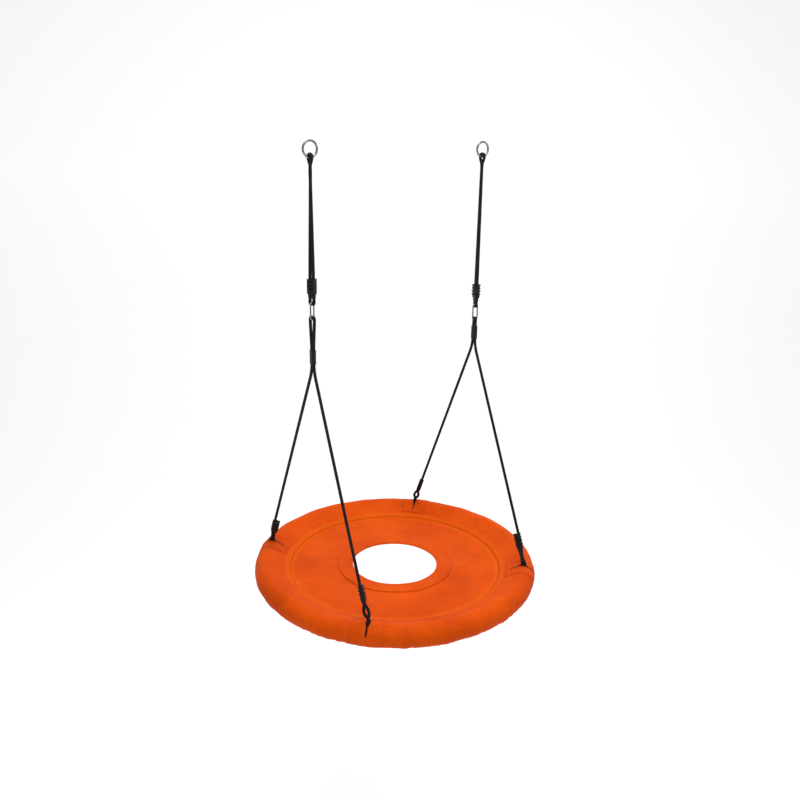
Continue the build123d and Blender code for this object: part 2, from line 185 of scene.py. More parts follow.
# %% Lights
room_light = 0.36
for name, place, target_z, size, power in (
    ("key", (-0.9, -2.0, 2.8), seat_z + 0.2, 2.6, 95),
    ("top", (0.8, 0.8, 2.8), seat_z, 3.0, 60),
    ("side", (3.0, -1.8, 0.6), -0.8, 2.0, 18),
):
    area_light(name, place, (0, 0, target_z), size, power)
world = bpy.data.worlds.new("soft_room")
world.use_nodes = True
world.node_tree.nodes["Background"].inputs["Color"].default_value = (1, 1, 1, 1)
world.node_tree.nodes["Background"].inputs["Strength"].default_value = room_light
scene.world = world
print("stage and", len(bpy.data.lights), "lights")

# %% [markdown]
# ## Helpers for pieces
# Each new piece of the cover is a mesh with its place in its own points, smooth faces, one
# material and the body that it moves with. Anything round is a line of points spun about the seat's
# axis. The cloth map gives each piece UVs in metres, so that one weave has the same size on all of
# them.


# %% Piece helpers
def cover_piece(bm, name, material):
    """Turn a bmesh into a named piece of the cover, which moves with the seat."""
    mesh = bpy.data.meshes.new(name)
    bm.to_mesh(mesh)
    bm.free()
    mesh.shade_smooth()
    mesh.materials.append(material)
    made = bpy.data.objects.new(name, mesh)
    scene.collection.objects.link(made)
    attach(made, "seat")
    return made


def add_wall(made, thickness):
    """Give a sheet of faces the thickness of cloth, on its inner side."""
    modifier = made.modifiers.new("solidify", "SOLIDIFY")
    modifier.thickness = thickness
    modifier.offset = -1


def spun(rows, steps):
    """A line of (radius, height) points, spun once round the seat's axis."""
    bm = bmesh.new()
    line = [bm.verts.new((radius, 0, seat_z + height)) for radius, height in rows]
    edges = [bm.edges.new(pair) for pair in zip(line, line[1:])]
    bmesh.ops.spin(bm, geom=line + edges, cent=(0, 0, 0), axis=(0, 0, 1), angle=2 * pi,
                   steps=steps, use_merge=True)
    return bm


def turn_outwards(bm, faces, way):
    """Make the faces agree, and turn them all if the given ones look against a direction."""
    bmesh.ops.recalc_face_normals(bm, faces=bm.faces)
    if sum(face.normal.dot(way) for face in faces) < 0:
        bmesh.ops.reverse_faces(bm, faces=bm.faces)


def lay_cloth_map(bm, place):
    """A UV map in metres, from a function that turns a point into (across, along, lap)."""
    layer = bm.loops.layers.uv.new("cloth")
    for face in bm.faces:
        spots = [place(loop.vert.co) for loop in face.loops]
        far = max(spot[0] for spot in spots)
        for loop, (across, along, lap) in zip(face.loops, spots):
            loop[layer].uv = (across + lap if far - across > lap / 2 else across, along)


# %% [markdown]
# ## Node helpers and shared effects
# Two effects come back in several finishes. Grain is the fine unevenness of anything moulded,
# plated or painted. Weave is the crossing of warp and weft that the cloth shows near by. Each
# could be copied into every material, but as a node group it is built once and placed in each.


# %% Node helpers
def node(tree, kind, inputs=(), **settings):
    """A node with its settings, and its inputs set to a value or linked to a socket."""
    made = tree.nodes.new(kind)
    for key, value in settings.items():
        setattr(made, key, value)
    for key, value in dict(inputs).items():
        if isinstance(value, bpy.types.NodeSocket):
            tree.links.new(value, made.inputs[key])
        else:
            made.inputs[key].default_value = value
    return made


def maths(tree, operation, first, second=0.0):
    """One Math node, and its result."""
    return node(tree, "ShaderNodeMath", {0: first, 1: second}, operation=operation).outputs[0]


def clouds(tree, place, scale, detail=2.0, distortion=0.0):
    """Smooth noise from 0 to 1."""
    return node(tree, "ShaderNodeTexNoise", {"Vector": place, "Scale": scale, "Detail": detail,
                "Distortion": distortion}).outputs[0]


def mapped(tree, value, low, high, first=0.0, last=1.0):
    """A value from first to last, stretched to run from low to high."""
    return node(tree, "ShaderNodeMapRange", {"Value": value, "From Min": first, "From Max": last,
                "To Min": low, "To Max": high}).outputs[0]


def two_tone(tree, value, dark, light, first=0.0, last=1.0):
    """A colour that goes from dark to light as a value goes from first to last."""
    ramp = node(tree, "ShaderNodeValToRGB", {0: value})
    for stop, place, colour in zip(ramp.color_ramp.elements, (first, last), (dark, light)):
        stop.position = place
        stop.color = (*colour, 1)
    return ramp.outputs[0]


def bumped(tree, height, distance, strength, **under):
    """A Bump node's normal, on top of another normal if one is given."""
    return node(tree, "ShaderNodeBump", {"Height": height, "Distance": distance,
                "Strength": strength, **under}).outputs[0]


def new_group(name, inputs, outputs):
    """An empty node group with named sockets, its input node and its output node."""
    group = bpy.data.node_groups.new(name, "ShaderNodeTree")
    for label, kind in inputs:
        group.interface.new_socket(name=label, in_out="INPUT", socket_type=kind)
    for label, kind in outputs:
        group.interface.new_socket(name=label, in_out="OUTPUT", socket_type=kind)
    return group, group.nodes.new("NodeGroupInput"), group.nodes.new("NodeGroupOutput")


def finish(name, roughness, metallic=0.0):
    """A new material, its node tree and its shader."""
    material = bpy.data.materials.new(name)
    material.use_nodes = True
    shader = material.node_tree.nodes["Principled BSDF"]
    shader.inputs["Roughness"].default_value = roughness
    shader.inputs["Metallic"].default_value = metallic
    return material, material.node_tree, shader


# %% Grain and weave groups
grain, given, result = new_group(
    "grain",
    [("Vector", "NodeSocketVector"), ("Scale", "NodeSocketFloat")],
    [("Mask", "NodeSocketFloat"), ("Height", "NodeSocketFloat")],
)
finer = maths(grain, "MULTIPLY", given.outputs[1], 14.0)
grain.links.new(clouds(grain, given.outputs[0], given.outputs[1], 3.0), result.inputs[0])
grain.links.new(clouds(grain, given.outputs[0], finer), result.inputs[1])

weave, given, result = new_group(
    "weave",
    [("Vector", "NodeSocketVector"), ("Pitch", "NodeSocketFloat")],
    [("Height", "NodeSocketFloat")],
)
spread = node(weave, "ShaderNodeSeparateXYZ", {0: given.outputs[0]})
turns = maths(weave, "DIVIDE", pi, given.outputs[1])
warp = maths(weave, "SINE", maths(weave, "MULTIPLY", spread.outputs[0], turns))
weft = maths(weave, "SINE", maths(weave, "MULTIPLY", spread.outputs[1], turns))
crossing = maths(weave, "MULTIPLY", warp, weft)
bulge, uneven = maths(weave, "ABSOLUTE", crossing), maths(weave, "MULTIPLY", crossing, 0.4)
weave.links.new(maths(weave, "ADD", bulge, uneven), result.inputs[0])
print("node groups", [group.name for group in bpy.data.node_groups])


# %% [markdown]
# ## The cover's cloth
# The cover is polyester cloth, so it is matt, and the weave only shows from near by. Its colour
# drifts a little, as dyed cloth does. Along the seam between the rim and the flat panel, where the
# cloth is pulled over a ridge, a painted highlight makes it lighter and more yellow. That band could
# be painted on each piece, but measured as a distance from the seam it runs over all of them without a
# break.


# %% Cover finish
deep_orange = (0.66, 0.066, 0.0012)
bright_orange = (0.83, 0.094, 0.0020)
# The colour of the painted highlight along the seam.
seam_highlight_orange = (0.86, 0.135, 0.002)
weave_pitch = 0.0011


def cover_finish(name, tone):
    """Orange cloth. The tone makes a piece a little darker or lighter than its neighbours."""
    material, tree, shader = finish(name, 0.62)
    cloth = node(tree, "ShaderNodeUVMap", uv_map="cloth").outputs[0]
    place = node(tree, "ShaderNodeTexCoord").outputs["Object"]
    threads = node(tree, "ShaderNodeGroup", {"Vector": cloth, "Pitch": weave_pitch},
                   node_tree=weave).outputs[0]
    drift = clouds(tree, place, 5.0, 5.0)
    scuffs = clouds(tree, place, 38.0, 6.0)
    deep, bright = ([channel * tone for channel in orange] for orange in (deep_orange, bright_orange))
    ground = two_tone(tree, drift, deep, bright, 0.30, 0.68)
    parts = node(tree, "ShaderNodeSeparateXYZ", {0: place})
    flat = node(tree, "ShaderNodeCombineXYZ", {0: parts.outputs[0], 1: parts.outputs[1]}).outputs[0]
    radius = node(tree, "ShaderNodeVectorMath", {0: flat}, operation="LENGTH").outputs["Value"]
    # Painted highlight: a lighter, more yellow band along the seam, full within 4 mm of it and gone at
    # 21 mm.
    off_seam = maths(tree, "ABSOLUTE", maths(tree, "SUBTRACT", radius, panel_r + 0.003))
    band = mapped(tree, off_seam, 0.70, 0.0, 0.004, 0.021)
    lit = node(tree, "ShaderNodeMix", {"Factor": band, 6: ground, 7: (*seam_highlight_orange, 1)},
               data_type="RGBA").outputs[2]
    worn = mapped(tree, scuffs, 0.93, 1.06, 0.3, 0.75)
    coloured = node(tree, "ShaderNodeVectorMath", {0: lit, "Scale": worn}, operation="SCALE").outputs[0]
    tree.links.new(coloured, shader.inputs["Base Color"])
    tree.links.new(mapped(tree, scuffs, 0.54, 0.72), shader.inputs["Roughness"])
    folded = bumped(tree, clouds(tree, place, 70.0, 4.0, 1.2), 0.0010, 0.35)
    tree.links.new(bumped(tree, threads, 0.00012, 0.6, Normal=folded), shader.inputs["Normal"])
    shader.inputs["Specular IOR Level"].default_value = 0.05
    return material


cover_cloth = cover_finish("cover_cloth", 1.0)
patch_cloth = cover_finish("patch_cloth", 0.97)


def thread_finish(name, shaded, lit):
    """Sewing thread, with painted shade in the twist between its fibres, laid on as fine cloudy noise.
    """
    material, tree, shader = finish(name, 0.7)
    place = node(tree, "ShaderNodeTexCoord").outputs["Object"]
    twist = clouds(tree, place, 700.0)
    tree.links.new(two_tone(tree, twist, shaded, lit), shader.inputs["Base Color"])
    return material


cover_thread = thread_finish("cover_thread", (0.42, 0.040, 0.001), (0.70, 0.078, 0.002))
# Near-black thread for the slits. Its black is painted shade, the dark line of shadow along each slit.
slit_shade_thread = thread_finish("slit_shade_thread", (0.008, 0.007, 0.006), (0.030, 0.024, 0.020))


# %% [markdown]
# ## Rope, plastic and metal
# The rope is black polyester, so its braid shows by its highlights more than by its colour. The
# relief attribute that each rope mesh carries paints shade into the dips between the strands, which
# a pattern on coordinates couldn't do, because it doesn't know where the strands lie. The adjusters
# and clamps are moulded black plastic, and the rings and hooks are zinc plated. They share one
# recipe with the hidden steel and foam: cloudy colour and roughness, and a fine grain.


# %% Rope finish
rope_finish, tree, shader = finish("braided_rope", 0.5)
relief = node(tree, "ShaderNodeAttribute", attribute_name="relief").outputs["Fac"]
yarn = clouds(tree, node(tree, "ShaderNodeUVMap", uv_map="cloth").outputs[0], 900.0)
# Painted shade: the relief makes the rope darker in the dips between its strands.
groove_shade = two_tone(tree, relief, (0.0015, 0.0015, 0.0017), (0.013, 0.013, 0.015), 0.15, 0.9)
tree.links.new(groove_shade, shader.inputs["Base Color"])
tree.links.new(bumped(tree, yarn, 0.0002, 0.5), shader.inputs["Normal"])
tree.links.new(mapped(tree, yarn, 0.38, 0.62), shader.inputs["Roughness"])
shader.inputs["Specular IOR Level"].default_value = 0.2


# %% Plastic, metal and foam
def grained(name, dark, light, roughness, metallic, scale, depth, specular=0.5):
    """A finish with cloudy colour and a fine grained surface."""
    material, tree, shader = finish(name, roughness, metallic)
    place = node(tree, "ShaderNodeTexCoord").outputs["Object"]
    grains = node(tree, "ShaderNodeGroup", {"Vector": place, "Scale": scale}, node_tree=grain)
    mask, height = grains.outputs
    tree.links.new(two_tone(tree, mask, dark, light, 0.35, 0.7), shader.inputs["Base Color"])
    tree.links.new(mapped(tree, mask, roughness - 0.1, roughness + 0.12), shader.inputs["Roughness"])
    tree.links.new(bumped(tree, height, depth, 0.5), shader.inputs["Normal"])
    shader.inputs["Specular IOR Level"].default_value = specular
    return material


finishes = {
    "black_plastic": grained("black_plastic", (0.005, 0.005, 0.005), (0.013, 0.013, 0.014), 0.42, 0.0,
                             60.0, 0.0001, 0.3),
    "zinc": grained("zinc", (0.20, 0.205, 0.215), (0.44, 0.445, 0.45), 0.30, 1.0, 90.0, 0.00004),
    "steel": grained("seat_steel", (0.05, 0.05, 0.055), (0.10, 0.10, 0.11), 0.45, 0.0, 40.0, 0.0001),
    "foam": grained("rim_foam", (0.03, 0.03, 0.032), (0.06, 0.06, 0.062), 0.9, 0.0, 150.0, 0.0004),
}
carried = 0
for row in frame["record"]["subparts"]:
    if row["material_slot"] in finishes:
        materials = frame["nodes"][row["node"]].data.materials
        materials.clear()
        materials.append(finishes[row["material_slot"]])
        carried += 1
print(carried, "CAD nodes finished")

# %% [markdown]
# ## Braided rope
# A braided rope is a tube with two families of strands that wind opposite ways and pass over and
# under each other. The strands could be modelled one by one, but they would cost many faces and
# cut into each other. Instead the route is a smooth spline, the tube is a bevelled curve along it,
# made a mesh, and each of its points then moves in or out by the relief of the braid.


# %% Route of a rope
def smooth_line(points):
    """Places along the spline that the control points shape."""
    curve = bpy.data.curves.new("route", "CURVE")
    curve.dimensions = "3D"
    spline = curve.splines.new("NURBS")
    spline.points.add(len(points) - 1)
    for control, point in zip(spline.points, points):
        control.co = (*point, 1)
    spline.order_u = 3
    spline.use_endpoint_u = True
    spline.resolution_u = 24
    carrier = bpy.data.objects.new("route", curve)
    scene.collection.objects.link(carrier)
    line = bpy.data.meshes.new_from_object(carrier)
    places = np.array([v.co for v in line.vertices])
    bpy.data.objects.remove(carrier)
    return places


def evenly(places, step):
    """The same line with its places a step apart, and its length."""
    gaps = np.linalg.norm(np.diff(places, axis=0), axis=1)
    reach = np.concatenate([[0], np.cumsum(gaps)])
    marks = np.linspace(0, reach[-1], round(reach[-1] / step) + 1)
    return np.column_stack([np.interp(marks, reach, places[:, k]) for k in range(3)]), reach[-1]


# %% Relief of the braid
strand_count = 8
braid_lay = 0.036


def braid_relief(turn, along):
    """Height of the braid, 0 in a groove and 1 on top of a strand."""
    first = strand_count * (turn + along / braid_lay)
    second = strand_count * (turn - along / braid_lay)
    across_first, across_second = np.sin(pi * (first % 1)), np.sin(pi * (second % 1))
    over = (np.floor(first) + np.floor(second)) % 2 == 0
    high = np.where(over, across_first, across_second)
    low = np.where(over, across_second, across_first)
    return high**0.6 * (0.55 + 0.45 * low)


# %% Rope mesh
ring_points = 32
rope_step = 0.00125
relief_depth = 0.00070
mean_relief = 0.7


def lay_rope_map(mesh):
    """The rope's cloth map: metres round it and along it, without a step where a turn closes."""
    while mesh.uv_layers:
        mesh.uv_layers.remove(mesh.uv_layers[0])
    layer = mesh.uv_layers.new(name="cloth")
    corner = np.zeros(len(mesh.loops), int)
    mesh.loops.foreach_get("vertex_index", corner)
    around, along = corner % ring_points / ring_points, corner // ring_points * rope_step
    faces = around.reshape(-1, 4)
    faces += (np.ptp(faces, axis=1) > 0.5)[:, None] & (faces < 0.5)
    layer.data.foreach_set("uv", np.column_stack([around * 2 * pi * rope_r, along]).ravel())


def braided(name, points):
    """A braided rope along the spline of the control points."""
    places, length = evenly(smooth_line(points), rope_step)
    curve = bpy.data.curves.new(name, "CURVE")
    curve.dimensions = "3D"
    spline = curve.splines.new("POLY")
    spline.points.add(len(places) - 1)
    spline.points.foreach_set("co", np.column_stack([places, np.ones(len(places))]).ravel())
    curve.bevel_depth = rope_r
    curve.bevel_resolution = (ring_points - 4) // 2
    carrier = bpy.data.objects.new(name + "_route", curve)
    scene.collection.objects.link(carrier)
    mesh = bpy.data.meshes.new_from_object(carrier)
    bpy.data.objects.remove(carrier)
    mesh.name = name
    spots = np.zeros(3 * len(mesh.vertices))
    mesh.vertices.foreach_get("co", spots)
    spots = spots.reshape(-1, 3)
    ring, spoke = np.divmod(np.arange(len(spots)), ring_points)
    height = braid_relief(spoke / ring_points, ring * rope_step)
    out = (spots - places[ring]) / rope_r
    spots = places[ring] + out * (rope_r + relief_depth * (height - mean_relief))[:, None]
    mesh.vertices.foreach_set("co", spots.ravel())
    shade = mesh.attributes.new("relief", "FLOAT", "POINT")
    shade.data.foreach_set("value", height)
    lay_rope_map(mesh)
    bm = bmesh.new()
    bm.from_mesh(mesh)
    bmesh.ops.holes_fill(bm, edges=[e for e in bm.edges if e.is_boundary], sides=0)
    bm.to_mesh(mesh)
    bm.free()
    mesh.shade_smooth()
    mesh.materials.clear()
    mesh.materials.append(rope_finish)
    made = bpy.data.objects.new(name, mesh)
    scene.collection.objects.link(made)
    print(name, "rope of", round(length, 3), "m", len(mesh.polygons), "faces")
    return made


# %% Directions
def level(angle):
    """Unit vector in the horizontal plane, an angle in degrees from +X."""
    return Vector((cos(radians(angle)), sin(radians(angle)), 0))


def towards(start, end, distance):
    """The point at a distance from start on the way to end."""
    return start + (end - start).normalized() * distance


# %% [markdown]
# ## The hanging lines
# One rope hangs over each ring. Its fixed strand ends in the adjuster, and its running strand goes
# through it and ends in the eye that carries the hook. One long mesh couldn't follow the joints,
# so the rope is cut where they are. The fixed strand moves with the line and the eye with the fork,
# while the turn in the ring and the running strand stay where they are made.

# %% Hanging lines
bend_z = -0.070
bend_end_z = -0.083
pair_angle_at_bend = 55
pair_half = 0.0054
bore_half = 0.0063
over_ring = 0.0103
over_wire = 0.0078
straight_run = 0.060
# Each side's sign in x, and the angle of the line through its adjuster's two holes.
sides = {"left": (-1, 115), "right": (1, 75)}


def hanging_line(side, x_sign, pair_angle):
    """The turn in the ring, the two strands and the eye of one line."""
    centre = Vector((x_sign * hang_x, 0, 0))
    wire_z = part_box(f"{side}_ring")[0].z + 0.0035
    low = level(pair_angle_at_bend) * pair_half
    wide = level(90) * over_ring
    bore = level(pair_angle) * bore_half
    turn_z = wire_z - 0.0015

    def at(shift, z):
        return centre + shift + Vector((0, 0, z))

    turn = braided(f"{side}_ring_turn", [
        at(low, bend_end_z - 0.002), at(low, bend_z + 0.004),
        at(wide, turn_z - 0.005), at(wide, turn_z + over_ring),
        at(-wide, turn_z + over_ring), at(-wide, turn_z - 0.005),
        at(-low, bend_z + 0.004), at(-low, bend_end_z - 0.002),
    ])
    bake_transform(turn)
    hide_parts(f"{side}_bight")

    bottom, top = (corner.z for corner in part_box(f"{side}_adjuster"))
    mouth = top + 0.020
    for strand, sign, end_z in (("fixed", 1, top - 0.036), ("running", -1, bottom - 0.002)):
        start, bend = at(low * sign, bend_end_z), at(bore * sign, mouth)
        rope = braided(f"{side}_{strand}_rope", [
            start, towards(start, bend, straight_run), towards(bend, start, straight_run), bend,
            at(bore * sign, top - 0.010), at(bore * sign, end_z),
        ])
        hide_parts(f"{side}_{strand}_strand")
        if strand == "fixed":
            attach(rope, f"{side}_line")
            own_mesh(rope)
        else:
            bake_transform(rope)

    clamp_low, clamp_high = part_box(f"{side}_eye_clamp")
    foot = clamp_low.z - 0.0005
    eye_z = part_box(f"{side}_eye")[0].z + rope_r
    wide = level(pair_angle) * (over_wire + 0.0001)
    eye = braided(f"{side}_eye_rope", [
        at(-bore, clamp_high.z + 0.001), at(-bore, foot), at(-wide, foot - 0.0075), at(-wide, eye_z),
        at(wide, eye_z), at(wide, foot - 0.0075), at(bore, foot), at(bore, clamp_high.z - 0.001),
    ])
    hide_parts(f"{side}_eye")
    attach(eye, f"{side}_fork")


for side, (x_sign, pair_angle) in sides.items():
    hanging_line(side, x_sign, pair_angle)

# %% [markdown]
# ## The forks
# One rope lies over each hook, runs through the fork clamp and parts into two legs. Each leg ends
# in a loop through the cover, with its end turned back up into the ribbed clamp. The two strands
# of a loop enter the narrow slit one behind the other, and part sideways above it, like an eye.
# The main rope is one spline from foot to foot, so it has no joins that could show.

# %% Forks
fork_half = 0.0053
fork_apex = -0.686
leg_clamp_length = 0.052
loop_bulge = 0.0112
slit_overlap = 0.0015


def leg_axes(x_sign, y_sign):
    """Foot of a leg, its way up, and how its two strands lie in the slit and in the clamp."""
    foot = Vector((x_sign * hang_x, y_sign * hang_x, slit_z))
    up = (Vector((x_sign * hang_x, y_sign * fork_half, fork_apex)) - foot).normalized()
    outward = Vector((x_sign, y_sign, 0)).normalized()
    side = (outward - up * outward.dot(up)).normalized()
    return foot, up, outward, side


def loop_points(x_sign, y_sign, visible, flip):
    """One strand of a foot loop, from inside the slit to the top of its clamp."""
    foot, up, outward, side = leg_axes(x_sign, y_sign)
    along = up.cross(side)
    half = flip * fork_half
    return [
        foot + outward * half - Vector((0, 0, slit_overlap)),
        foot + outward * half + Vector((0, 0, 0.0036)),
        foot + up * (visible * 0.45) + along * (flip * loop_bulge),
        foot + up * (visible - 0.001) + side * half,
        foot + up * (visible + leg_clamp_length) + side * half,
    ]


def fork(side, x_sign, pair_angle):
    """The fork rope of one side and its two turned-back ends."""
    hook_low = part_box(f"{side}_hook")[0].z + 0.0025
    clamp_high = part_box(f"{side}_fork_clamp")[1].z
    centre = Vector((x_sign * hang_x, 0, 0))
    wide = level(pair_angle) * (over_wire + 0.0001)
    halves = []
    for y_sign, corner in ((-1, f"front_{side}"), (1, f"rear_{side}")):
        visible = corners[corner][2]
        rise = loop_points(x_sign, y_sign, visible, 1)
        apex = Vector((x_sign * hang_x, y_sign * fork_half, fork_apex))
        halves.append(rise + [
            towards(rise[-1], apex, straight_run), towards(apex, rise[-1], straight_run), apex,
            Vector((apex.x, apex.y, clamp_high + 0.0005)),
            centre + wide * y_sign + Vector((0, 0, hook_low - 0.007)),
            centre + wide * y_sign + Vector((0, 0, hook_low + over_wire)),
        ])
        tail = loop_points(x_sign, y_sign, visible, -1)
        tail[-1] = towards(tail[-1], tail[-2], 0.003)
        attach(braided(f"{corner}_rope_end", tail), f"{side}_fork")
    rope = braided(f"{side}_fork_braid", halves[0] + halves[1][::-1])
    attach(rope, f"{side}_fork")
    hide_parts(f"{side}_fork_rope")


for side, (x_sign, pair_angle) in sides.items():
    fork(side, x_sign, pair_angle)

# %% [markdown]
# The rest of each loop goes down through the slit and round the steel tube, inside the cover. It
# could be left out as mostly unseen, but the slit would then show foam. It moves with the seat,
# and meets the loop above it in the slit.

# %% Hidden turns of the loops
tube_turn = 0.018


def tube_loop(corner, x_sign, y_sign):
    """The part of a foot loop that goes round the tube."""
    outward = Vector((x_sign, y_sign, 0)).normalized()
    middle = Vector((x_sign * hang_x, y_sign * hang_x, seat_z))
    top = slit_z - seat_z + slit_overlap

    def at(across, height):
        return middle + outward * across + Vector((0, 0, height))

    rope = braided(f"{corner}_tube_loop", [
        at(-fork_half, top), at(-fork_half, 0.034), at(-tube_turn, 0.016),
        at(-tube_turn * 1.05, -tube_turn), at(tube_turn * 1.05, -tube_turn), at(tube_turn, 0.016),
        at(fork_half, 0.034), at(fork_half, top),
    ])
    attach(rope, "seat")
    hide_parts(f"{corner}_tie")


for corner, (x_sign, y_sign, visible) in corners.items():
    tube_loop(corner, x_sign, y_sign)

# %% [markdown]
# ## The padded rim
# The sleeve is sewn to the panel along a circle and pulled tight over foam, so its section is a
# teardrop: round outside, with two straight slopes down to the seam. A flat strip of cloth that
# is bent into a ring is too long inside and too short outside, so it puckers across the rim. Cloth
# simulation could give such folds, but here the foam holds the cloth so close that they stay
# shallow, and patches and stitches have to lie on them exactly. So the section is spun round the
# seat, and the puckers are a function that moves its points and places everything sewn on it.

# %% Section of the rim
touch = pi - acos(rim_r / (ring_r - panel_r))
under_drop = 0.0043


def section_point(angle, extra=0.0):
    """A point on the round part of the rim's section, as (radius, height)."""
    return ring_r + (rim_r + extra) * cos(angle), (rim_r + extra) * sin(angle)


def section_run(run, extra=0.0):
    """A point of the section by its distance from the top of the round part: slope, then round."""
    if run > 0:
        return section_point(touch - run / rim_r, extra)
    radius, height = section_point(touch, extra)
    return radius + run * sin(touch), height + run * -cos(touch)


# %% Puckers
deepest_dip = 0.0012


def cloth_noise(x, y, seed):
    """Smooth noise from -1 to 1."""
    return noise.noise((x, y, seed))


def on_rim(spot):
    """Angle round the seat, angle round the rim's section, and way out of the section."""
    around = atan2(spot.y, spot.x)
    flat = Vector((spot.x, spot.y, 0)).normalized()
    across = Vector((spot.x, spot.y, 0)).length - ring_r
    height = spot.z - seat_z
    return around, atan2(height, across), (flat * across + Vector((0, 0, height))).normalized()


def pucker(around, angle):
    """How far the sleeve stands out, in metres, at a place on the rim."""
    along = around * ring_r
    outside = max(0.0, cos(angle + 0.35)) ** 1.5
    inside = max(0.0, cos(angle - touch)) ** 6
    under = max(0.0, cos(angle + touch)) ** 6
    lean = along + angle * 0.006
    folds = 1 - abs(cloth_noise(lean / 0.023, angle * 0.55, 3.0)) * 2.6
    across_folds = folds * 0.0026 * outside * (0.60 + cloth_noise(along / 0.10, 5.0, 1.0))
    seam_folds = cloth_noise(along / 0.009, angle * 1.4, 11.0) * 0.0020 * (inside + under)
    long_creases = (0.3 - abs(cloth_noise(along / 0.085, angle * 3.6, 7.0))) * 0.0022
    lumps = cloth_noise(along / 0.075, angle * 1.1, 19.0) * 0.0022
    moved = across_folds + seam_folds + long_creases + lumps
    return moved if moved > 0 else deepest_dip * tanh(moved / deepest_dip)


def freedom(radius):
    """How freely the sleeve can stand out: not at all at the seam, and fully from 20 mm on."""
    return min(1.0, (radius - panel_r) / 0.02)


# %% Rim sleeve
cloth_wall = 0.0009
opening_half = 0.0075
opening_low, opening_high = -0.35, pi / 2 + 0.70


def rim_cloth_map(spot):
    """Cloth map of the rim: metres along it, metres across it, and its whole length."""
    around, angle, out = on_rim(spot)
    return around * ring_r, angle * rim_r, 2 * pi * ring_r


def at_opening(spot):
    """True on the top and outside of the rim, close to a loop's middle plane."""
    around, angle, out = on_rim(spot)
    if not opening_low < angle < opening_high:
        return False
    return any(
        spot.x * x_sign + spot.y * y_sign > 0
        and abs(spot.x * y_sign - spot.y * x_sign) / 2**0.5 < opening_half
        for x_sign, y_sign, visible in corners.values()
    )


def build_sleeve():
    """The sleeve of the rim: a section spun round the seat, with an opening at each loop."""
    high = Vector(section_point(touch))
    low = Vector((high.x, -high.y))
    seam, under_seam = Vector((panel_r, 0)), Vector((panel_r, -under_drop))
    rows = [seam.lerp(high, share / 8) for share in range(8)]
    rows += [section_point(touch - 2 * touch * i / 46) for i in range(47)]
    rows += [low.lerp(under_seam, share / 8) for share in range(1, 9)]
    bm = spun(rows, 600)
    for vertex in bm.verts:
        around, angle, out = on_rim(vertex.co)
        vertex.co += out * pucker(around, angle) * freedom(vertex.co.xy.length)
    opening = [face for face in bm.faces if at_opening(face.calc_center_median())]
    bmesh.ops.delete(bm, geom=opening, context="FACES")
    bmesh.ops.recalc_face_normals(bm, faces=bm.faces)
    lay_cloth_map(bm, rim_cloth_map)
    sleeve = cover_piece(bm, "rim_cover", cover_cloth)
    add_wall(sleeve, cloth_wall)
    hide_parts("right_rim_sleeve", "rear_rim_sleeve", "left_rim_sleeve", "front_rim_sleeve")
    return sleeve


sleeve = build_sleeve()
print("rim cover", len(sleeve.data.polygons), "faces")

# %% [markdown]
# ## The flat panel
# Two layers of the same cloth are stretched inside the rim, sewn together round the hole. They
# are cut flat and pulled out at the rim, so they carry faint tension lines from the hole outwards
# and shallow dips between them. A grid would leave a stepped edge at the hole and the seam, so
# each layer is a line spun round the middle, which ends in true circles.

# %% Flat panel
def panel_wave(x, y):
    """How far the panel's cloth stands off its plane."""
    radius, around = (x * x + y * y) ** 0.5, atan2(y, x)
    held = min(1.0, (panel_r - radius) / 0.03) * min(1.0, 0.35 + (radius - hole_r) / 0.05)
    broad = cloth_noise(x / 0.11, y / 0.11, 2.0) * 0.0022
    lines = cloth_noise(around * 9.0, radius / 0.16, 7.0) * 0.0011
    creases = cloth_noise(x / 0.035, y / 0.09, 11.0) * 0.0007
    return max(0.0, held) * (broad + lines + creases)


def growth(radius, around):
    """How many times further out the cloth lies where the hem pulls the hole out of round."""
    share = max(0.0, 1 - (radius - hole_r) / 0.12)
    return 1 + 0.010 * cloth_noise(cos(around) * 1.6, sin(around) * 1.6, 31.0) * share


def pull_out_of_round(spot):
    """Move a point of the panel or the hem with the edge of the hole."""
    grow = growth(spot.xy.length, atan2(spot.y, spot.x))
    spot.x, spot.y = spot.x * grow, spot.y * grow


def flat_map(spot):
    """Cloth map of a flat piece, which has no lap."""
    return spot.x, spot.y, 1e6


def build_panel(name, node_name, height):
    """One layer of the panel, spun from a line of points and then waved."""
    inner, outer = hole_r + 0.002, panel_r + 0.0015
    bm = spun([(inner + (outer - inner) * i / 34, height) for i in range(35)], 360)
    for vertex in bm.verts:
        pull_out_of_round(vertex.co)
        vertex.co.z += panel_wave(vertex.co.x, vertex.co.y)
    turn_outwards(bm, bm.faces, Vector((0, 0, 1)))
    lay_cloth_map(bm, flat_map)
    layer = cover_piece(bm, name, cover_cloth)
    add_wall(layer, cloth_wall)
    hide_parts(node_name)


build_panel("panel_cloth", "seat_panel", -0.0010)
build_panel("under_cloth", "under_panel", -0.0034)

# %% [markdown]
# ## The hem of the hole
# A wide band of the same cloth is folded over the edge of the hole and stitched to both faces.
# It is a strip that had to be eased round a curve, so it puckers along its stitching. It could be
# a thicker edge on the panel, but as a piece of its own it keeps the step that catches the light.

# %% Hem
hem_lift = 0.0008


def hem_wave(spot):
    """Small puckers along the hem's stitching."""
    radius, around = spot.xy.length, atan2(spot.y, spot.x)
    rise = min(1.0, max(0.0, (radius - hole_r) / 0.02))
    return rise * cloth_noise(around * hem_r / 0.006, radius / 0.05, 23.0) * 0.0006


def hem_rest(spot):
    """Height of the hem's cloth over its plane."""
    return hem_wave(spot) + panel_wave(spot.x, spot.y)


